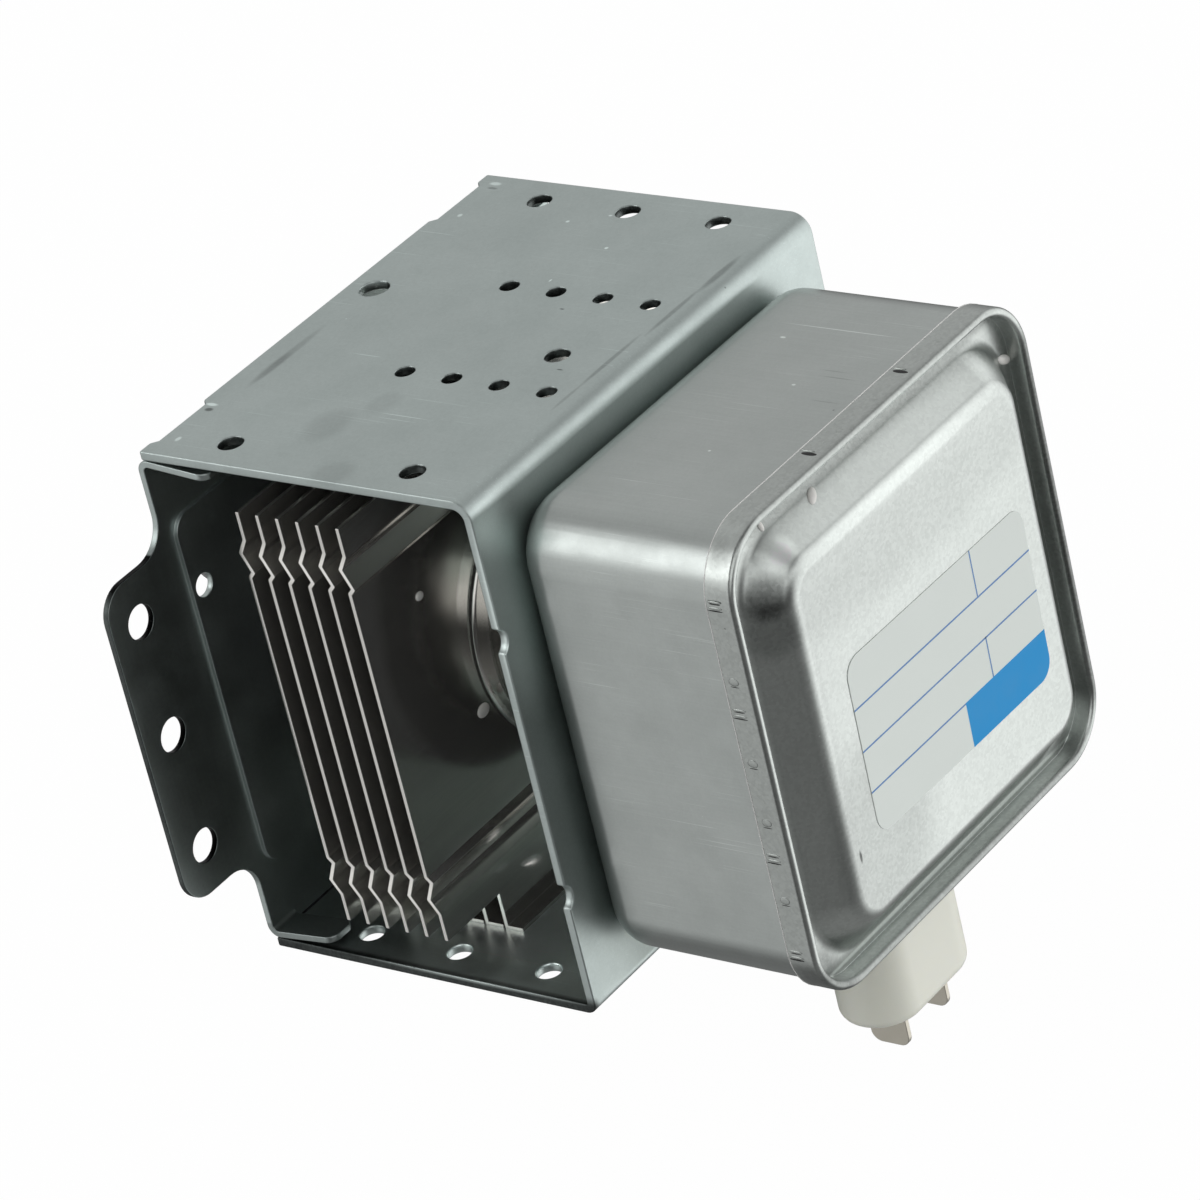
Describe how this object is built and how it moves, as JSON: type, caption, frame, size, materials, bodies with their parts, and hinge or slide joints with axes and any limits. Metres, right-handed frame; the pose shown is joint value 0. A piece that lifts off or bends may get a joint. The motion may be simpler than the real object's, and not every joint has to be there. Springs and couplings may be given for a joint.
{
  "type": "microwave oven magnetron",
  "caption": "Microwave-oven magnetron: folded steel yoke with mounting ears, finned vacuum tube between ring magnets, antenna, and a lidded filter box with a two-blade connector.",
  "frame": {"origin": "centre of the mounting-hole pattern, on the outer face of the mounting plate, on the antenna's axis", "axes": "+Y along the antenna, out of the mounting plate; X along the cooling air, from one ear to the other; Z from leg to leg, with the connector pointing to -Z"},
  "size_m": [0.1084, 0.1251, 0.1038],
  "materials": {
    "zinc_sheet": "bright galvanised sheet, fine rolled grain, light scratches",
    "lid_sheet": "pale galvanised sheet, fine zinc grain",
    "fin_aluminium": "bright rolled aluminium sheet",
    "magnet_ferrite": "dark grey ground ferrite",
    "copper": "bright copper",
    "pole_iron": "plated soft iron",
    "tube_steel": "satin drawn steel",
    "gasket_mesh": "knitted wire mesh",
    "tube_ceramic": "fired alumina, faint violet",
    "cathode_metal": "dull refractory metal",
    "connector_plastic": "off-white moulded plastic",
    "blade_metal": "tinned brass, grey-brown",
    "label_paper": "white label stock with blue rules and a blue block"
  },
  "bodies": {
    "root": {"yoke": "zinc_sheet", "mounting_plate": "zinc_sheet", "filter_box": "zinc_sheet", "filter_box_lid": "lid_sheet", "capacitor_flange": "lid_sheet", "cooling_fin_1": "fin_aluminium", "cooling_fin_2": "fin_aluminium", "cooling_fin_3": "fin_aluminium", "cooling_fin_4": "fin_aluminium", "cooling_fin_5": "fin_aluminium", "cooling_fin_6": "fin_aluminium", "output_magnet": "magnet_ferrite", "input_magnet": "magnet_ferrite", "choke_core_1": "magnet_ferrite", "choke_core_2": "magnet_ferrite", "anode_cylinder": "copper", "anode_vanes": "copper", "strap_rings": "copper", "antenna_lead": "copper", "exhaust_tube": "copper", "choke_coil_1": "copper", "choke_coil_2": "copper", "output_pole_piece": "pole_iron", "input_pole_piece": "pole_iron", "output_shell": "tube_steel", "input_shell": "tube_steel", "antenna_cap": "tube_steel", "gasket_retainer": "tube_steel", "box_rivets": "tube_steel", "flange_rivets": "tube_steel", "rf_gasket": "gasket_mesh", "antenna_ceramic": "tube_ceramic", "stem_ceramic": "tube_ceramic", "filament": "cathode_metal", "top_end_hat": "cathode_metal", "bottom_end_hat": "cathode_metal", "centre_lead": "cathode_metal", "side_lead": "cathode_metal", "capacitor_case": "connector_plastic", "capacitor_inner_case": "connector_plastic", "terminal_blade_1": "blade_metal", "terminal_blade_2": "blade_metal"}
  },
  "joints": []
}
